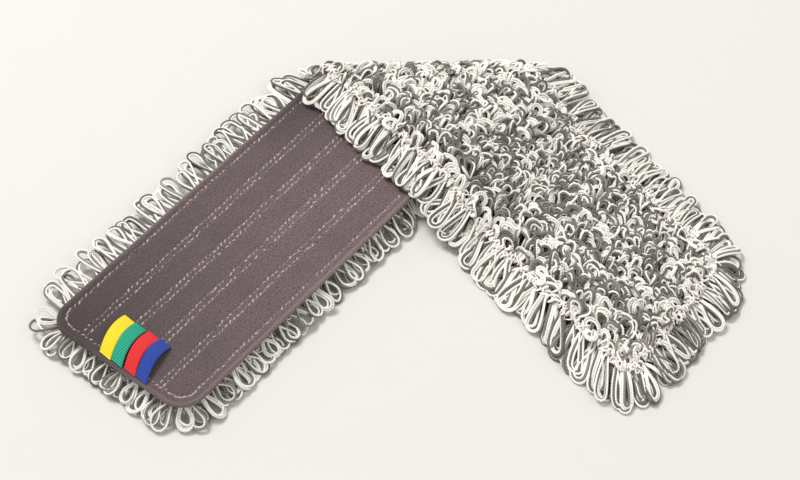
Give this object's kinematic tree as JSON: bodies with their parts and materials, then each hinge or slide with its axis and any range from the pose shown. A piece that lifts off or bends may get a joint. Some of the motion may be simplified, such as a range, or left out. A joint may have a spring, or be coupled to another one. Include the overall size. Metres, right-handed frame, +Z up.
{
  "type": "flat mop pad",
  "caption": "Looped-yarn flat mop pad with a velour backing and colour ribbons, folded once so that backing and yarn both show; it unfolds to a flat strip.",
  "frame": {"origin": "centre of the folded pad's footprint, on the surface that it lies on", "axes": "+X along the crease, towards the front half; +Z up; the crease is at the +Y side"},
  "size_m": [0.4976, 0.328, 0.0368],
  "materials": {
    "velour": "velour loop cloth, matt",
    "base_cloth": "woven polyester, matt",
    "yarn": "white and grey microfibre loops",
    "thread": "polyester sewing thread",
    "ribbon_yellow": "ribbed ribbon",
    "ribbon_green": "ribbed ribbon",
    "ribbon_red": "ribbed ribbon",
    "ribbon_blue": "ribbed ribbon"
  },
  "bodies": {
    "rear": {"rear_backing": "velour", "rear_base": "base_cloth", "rear_row_1": "yarn", "rear_row_2": "yarn", "rear_row_3": "yarn", "rear_row_4": "yarn", "rear_fringe_left": "yarn", "rear_fringe_right": "yarn", "rear_fringe_end": "yarn", "rear_seams": "thread", "crease_backing": "velour", "crease_base": "base_cloth", "crease_loops": "yarn"},
    "flap": {"flap_backing": "velour", "flap_base": "base_cloth", "flap_row_1": "yarn", "flap_row_2": "yarn", "flap_row_3": "yarn", "flap_row_4": "yarn", "flap_fringe_left": "yarn", "flap_seams": "thread"},
    "ramp": {"ramp_backing": "velour", "ramp_base": "base_cloth", "ramp_row_1": "yarn", "ramp_row_2": "yarn", "ramp_row_3": "yarn", "ramp_row_4": "yarn", "ramp_fringe_left": "yarn", "ramp_fringe_right": "yarn", "ramp_seams": "thread"},
    "front": {"front_backing": "velour", "front_base": "base_cloth", "front_row_1": "yarn", "front_row_2": "yarn", "front_row_3": "yarn", "front_row_4": "yarn", "front_fringe_left": "yarn", "front_fringe_right": "yarn", "front_fringe_end": "yarn", "front_seams": "thread"},
    "ribbon_yellow": {"ribbon_yellow": "ribbon_yellow"},
    "ribbon_green": {"ribbon_green": "ribbon_green"},
    "ribbon_red": {"ribbon_red": "ribbon_red"},
    "ribbon_blue": {"ribbon_blue": "ribbon_blue"}
  },
  "joints": [
    {"name": "fold", "type": "hinge", "parent": "rear", "child": "flap", "pos_m": [0.02268, 0.14754, 0.0184], "axis": [-1, 0, 0], "range_deg": [0, 179.9], "deforming": ["crease_backing", "crease_base", "crease_loops"]},
    {"name": "ramp_top", "type": "hinge", "parent": "flap", "child": "ramp", "pos_m": [0.07359, 0.10632, 0.0188], "axis": [-0.6293, -0.7771, 0], "range_deg": [0, 19.99]},
    {"name": "ramp_foot", "type": "hinge", "parent": "ramp", "child": "front", "pos_m": [0.11376, 0.07379, 0], "axis": [0.6293, 0.7771, 0], "range_deg": [0, 19.99]},
    {"name": "ribbon_yellow_lift", "type": "hinge", "parent": "rear", "child": "ribbon_yellow", "pos_m": [-0.19495, -0.10342, 0.0186], "axis": [0.866, -0.5, 0], "range_deg": [0, 130]},
    {"name": "ribbon_green_lift", "type": "hinge", "parent": "rear", "child": "ribbon_green", "pos_m": [-0.18648, -0.11028, 0.0186], "axis": [0.866, -0.5, 0], "range_deg": [0, 130]},
    {"name": "ribbon_red_lift", "type": "hinge", "parent": "rear", "child": "ribbon_red", "pos_m": [-0.17801, -0.11714, 0.0186], "axis": [0.866, -0.5, 0], "range_deg": [0, 130]},
    {"name": "ribbon_blue_lift", "type": "hinge", "parent": "rear", "child": "ribbon_blue", "pos_m": [-0.16954, -0.124, 0.0186], "axis": [0.866, -0.5, 0], "range_deg": [0, 130]}
  ],
  "couplings": [
    {"joint": "ramp_top", "follows": "fold", "ratio": 0.11104},
    {"joint": "ramp_foot", "follows": "fold", "ratio": 0.11104}
  ]
}
